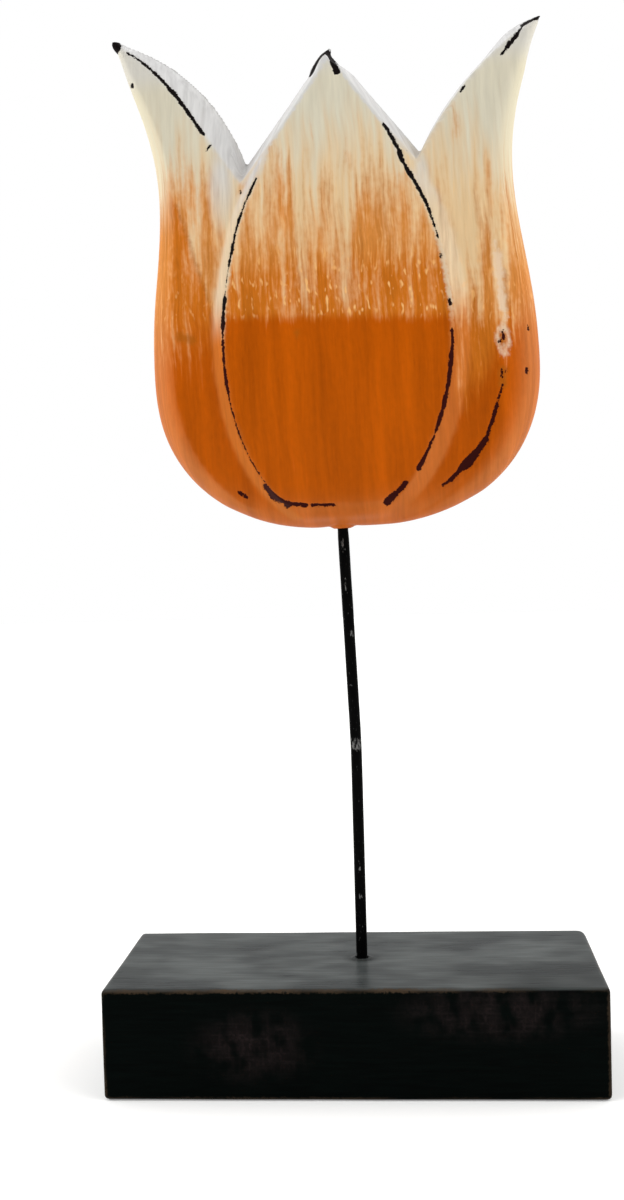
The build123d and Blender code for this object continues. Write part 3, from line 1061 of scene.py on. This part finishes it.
def make_stem():
    """The bent rod, a little uneven under its paint."""
    place = Matrix.Identity(4)
    source = cad_copy("stem_rod", place)
    mesh = even_mesh(source, "stem_wire", STEM_VOXEL)
    points, normals = on_surface(mesh, source)
    source.free()
    points = spread(mesh, points, STEM_ROUNDS, STEM_SOFTENING)
    coat = STEM_COAT * ramp(points[:, 2], *STEM_COAT_FOOT) * ramp(points[:, 2], *STEM_COAT_HEAD)
    points += normals * (coat - STEM_UNEVENNESS * (1 + waves(points, STEM_WAVE, STEM_SEED)))[:, None]
    write_points(mesh, points)
    scuff_and_glint = np.zeros(len(points))
    # Grey marks on the stem's front: one scuffed patch and painted glints
    for level, half_length, middle, half_width in STEM_SCUFFS_AND_GLINTS:
        along = ramp(np.abs(points[:, 2] - level), half_length, half_length / 3)
        beside = ramp(np.abs(normals[:, 0] - middle), half_width, half_width / 2)
        scuff_and_glint = np.maximum(scuff_and_glint, along * beside * (normals[:, 1] < 0))
    store(mesh, "scuff_and_glint", scuff_and_glint)
    piece(mesh, "stem_wire", place, "stem_rod", "stand", stem_paint())


def block_side(paint, brush):
    """The block's sides: black, with fine scratches that show brown in the scratched patches."""
    cross = paint.grain("cross", BLOCK_CROSS_SIZES, shift=9.0)
    blots = paint.ease(paint.grain("blots", BLOCK_BLOT_SIZES, shift=15.0), *BLOT_EDGE)
    lines = paint.math("MAXIMUM", paint.ease(brush, *SCRATCH_EDGE), paint.ease(cross, *SCRATCH_EDGE))
    lines = paint.times(lines, paint.ease(paint.noises["fine"], *SCRATCH_BREAKS))
    scratch = paint.total(SCRATCH_VEIL, paint.times(lines, SCRATCH_LINES))
    scratch = paint.times(scratch, blots, paint.measure("scratched"))
    return paint.mix(scratch, paint.tint(SIDE_BLACK, paint.varied(1.0, brush=1.6)), SCRATCH_BROWN)


def block_paint():
    """Black satin paint on wood, with the top's grey a painted reflection of the white surroundings,
    brushed, and drawn brown along the edges, partly worn and partly a painted highlight.
    """
    paint = Finish("block_paint")
    cloud = paint.grain("cloud", BLOCK_CLOUD_SIZES)
    brush = paint.grain("brush", BLOCK_BRUSH_SIZES, shift=3.0)
    paint.grain("fine", BLOCK_FINE_SIZES, shift=5.0)
    # The top's grey is a painted reflection of the white surroundings, mottled in clouds
    top = paint.mix(paint.ease(cloud, *CLOUD_EDGE), TOP_REFLECTION_DARK, TOP_REFLECTION_GREY)
    top = paint.tint(top, paint.varied(1.0, brush=0.9))
    # Painted shade: the top's painted reflection gives way to black round the stem's foot and at the front
    # right
    top = paint.mix(paint.measure("painted_shade"), top, SIDE_BLACK + (1,))
    colour = paint.mix(paint.measure("top"), block_side(paint, brush), top)
    # Brown lines along the edges: a painted highlight on all of them, with real wear along the top's front
    # edge
    line = paint.ease(paint.varied(paint.measure("edge"), fine=1.6), *RUBBED_AND_HIGHLIGHT_EDGE)
    colour = paint.mix(paint.times(line, paint.measure("rubbed_and_highlight")), colour, RUBBED_AND_HIGHLIGHT_BROWN)
    roughness = paint.varied(BLOCK_ROUGHNESS, cloud=0.16, brush=0.06)
    return paint.finish(colour, roughness, paint.total(cloud, brush), relief=0.03, shine=0.015)


def round_corner(points, high):
    """Rounds the block's corner at the back on the right."""
    past = np.maximum(points[:, :2] - high[:2] + CORNER_RADIUS, 0)
    reach = np.maximum(np.hypot(*past.T), CORNER_RADIUS)
    points[:, :2] -= past * (1 - CORNER_RADIUS / reach)[:, None]


def scratched_shares(x, z, on_front):
    """Share of each place on the block's front that lies in a scratched patch."""
    scratched = np.zeros(len(x))
    for middle, level, half_width, half_height in SCRATCHED:
        off = np.hypot((x - middle) / half_width, (z - level) / half_height)
        scratched = np.maximum(scratched, on_front * ramp(off, *SCRATCHED_EDGE))
    return scratched


def make_block():
    """The wooden block, with edges worn unevenly."""
    place = Matrix.Identity(4)
    source = cad_copy("base_block", place)
    mesh = even_mesh(source, "stand_block", BLOCK_VOXEL)
    points, normals = on_surface(mesh, source)
    source.free()
    low, high = (np.array(corner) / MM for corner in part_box("base_block"))
    inside = np.sort(np.minimum(points - low, high - points), axis=1)
    on_top = ramp(normals[:, 2], *TOP_TURN)
    foot_off = np.hypot(points[:, 0] - FOOT_X, points[:, 1])
    bead = FOOT_BEAD_HEIGHT * on_top * ramp(foot_off, FOOT_BEAD_REACH, FOOT_RADIUS)
    worn = BLOCK_WEAR + BLOCK_WEAR * waves(points, BLOCK_WAVE, BLOCK_SEED)
    points -= normals * (worn - bead)[:, None]
    round_corner(points, high)
    write_points(mesh, points)

    # Measures that the paint reads
    x, y, z = points.T
    # Painted shade on the top: round the stem's foot for its shade and dark reflection, and at the front
    # right
    foot_shade = FOOT_SHADE * ramp(foot_off, FOOT_SHADE_REACH, FOOT_RADIUS)
    corner_shade = CORNER_SHADE * ramp(x, *CORNER_SHADE_X) * ramp(y, *CORNER_SHADE_Y)
    top_front = ramp(high[2] - z, *FRONT_EDGE_REACH) * ramp(y - low[1], *FRONT_EDGE_REACH)
    # Edge lines: a painted highlight on every edge, with wear added along the left of the top's front edge
    rubbed_and_highlight = EDGE_HIGHLIGHT_AND_RUBBING + FRONT_RUBBING * top_front * ramp(x, *FRONT_RUBBING_X)
    patchy = np.clip(EDGE_LINE_LEVEL + EDGE_LINE_SWING * waves(points, EDGE_LINE_WAVE, EDGE_LINE_SEED), 0, 1)
    store(mesh, "edge", inside[:, 1])
    store(mesh, "rubbed_and_highlight", rubbed_and_highlight * patchy)
    store(mesh, "scratched", scratched_shares(x, z, ramp(normals[:, 1], *FRONT_TURN)))
    store(mesh, "painted_shade", np.maximum(foot_shade, corner_shade))
    store(mesh, "top", on_top)
    piece(mesh, "stand_block", place, "base_block", "stand", block_paint())


def add_camera():
    """The camera, where it stood for the photograph."""
    data = bpy.data.cameras.new("camera")
    data.lens = data.sensor_width * FOCAL_LENGTH_PIXELS / PHOTO_HEIGHT
    camera = bpy.data.objects.new("camera", data)
    level = Matrix.Rotation(CAMERA_YAW, 4, "Z")
    tilt = Matrix.Rotation(math.pi / 2 + CAMERA_PITCH, 4, "X")
    roll = Matrix.Rotation(CAMERA_ROLL, 4, "Z")
    camera.matrix_world = Matrix.Translation(CAMERA_PLACE * MM) @ level @ tilt @ roll
    scene.collection.objects.link(camera)
    scene.camera = camera


def add_lamp(name, strength, azimuth, elevation):
    """A soft far lamp that shines from an azimuth, counted from the front to the right."""
    data = bpy.data.lights.new(name, "SUN")
    data.energy = strength
    data.angle = LAMP_SPREAD
    lamp = bpy.data.objects.new(name, data)
    turn = Matrix.Rotation(math.radians(azimuth), 4, "Z")
    lamp.matrix_world = turn @ Matrix.Rotation(math.radians(90 - elevation), 4, "X")
    lamp.visible_glossy = False
    scene.collection.objects.link(lamp)


def white_to(tree):
    """1 for the rays that see the background: from the camera, mirrored or through glass."""
    rays = tree.nodes.new("ShaderNodeLightPath")
    seen = rays.outputs["Is Camera Ray"]
    for kind in ("Is Glossy Ray", "Is Transmission Ray"):
        either = tree.nodes.new("ShaderNodeMath")
        either.operation = "MAXIMUM"
        tree.links.new(seen, either.inputs[0])
        tree.links.new(rays.outputs[kind], either.inputs[1])
        seen = either.outputs[0]
    return seen


def add_tent():
    """World light: white all round, dimmer from the camera's side; a camera ray sees plain white."""
    world = bpy.data.worlds.new("tent")
    world.use_nodes = True
    scene.world = world
    tree = world.node_tree
    background = tree.nodes["Background"]
    direction = tree.nodes.new("ShaderNodeSeparateXYZ")
    tree.links.new(tree.nodes.new("ShaderNodeTexCoord").outputs["Generated"], direction.inputs["Vector"])
    level = tree.nodes.new("ShaderNodeMapRange")
    level.interpolation_type = "SMOOTHSTEP"
    limits = {"From Min": -1, "From Max": CAMERA_SIDE_END, "To Min": CAMERA_SIDE_LEVEL, "To Max": TENT_LEVEL}
    for name, value in limits.items():
        level.inputs[name].default_value = value
    tree.links.new(direction.outputs["Y"], level.inputs["Value"])
    seen = tree.nodes.new("ShaderNodeMath")
    seen.operation = "MAXIMUM"
    tree.links.new(level.outputs["Result"], seen.inputs[0])
    tree.links.new(white_to(tree), seen.inputs[1])
    tree.links.new(seen.outputs[0], background.inputs["Strength"])
    background.inputs["Color"].default_value = (1, 1, 1, 1)


def add_floor():
    """A pale floor that keeps the shadow and reads as white where the light is full."""
    half = FLOOR_SIZE / 2
    corners = [(-half, -half), (half, -half), (half, half), (-half, half)]
    mesh = bpy.data.meshes.new("floor")
    mesh.from_pydata([(x * MM, y * MM, -FLOOR_DROP * MM) for x, y in corners], [], [(0, 1, 2, 3)])
    floor = bpy.data.objects.new("floor", mesh)
    scene.collection.objects.link(floor)
    finish = Finish("floor")
    finish.put(finish.surface.inputs["Base Color"], FLOOR_COLOUR)
    finish.put(finish.surface.inputs["Roughness"], FLOOR_ROUGHNESS)
    finish.put(finish.surface.inputs["Specular IOR Level"], 0.0)
    finish.put(finish.surface.inputs["Emission Color"], (1, 1, 1, 1))
    glow = finish.math("MULTIPLY", white_to(finish.tree), FLOOR_GLOW)
    finish.put(finish.surface.inputs["Emission Strength"], glow)
    mesh.materials.append(finish.material)


scene.view_settings.view_transform = "Standard"
add_camera()
add_tent()
add_lamp("key", KEY_STRENGTH, *KEY_PLACE)
add_lamp("fill", FILL_STRENGTH, *FILL_PLACE)
add_floor()
make_flower()
make_stem()
make_block()
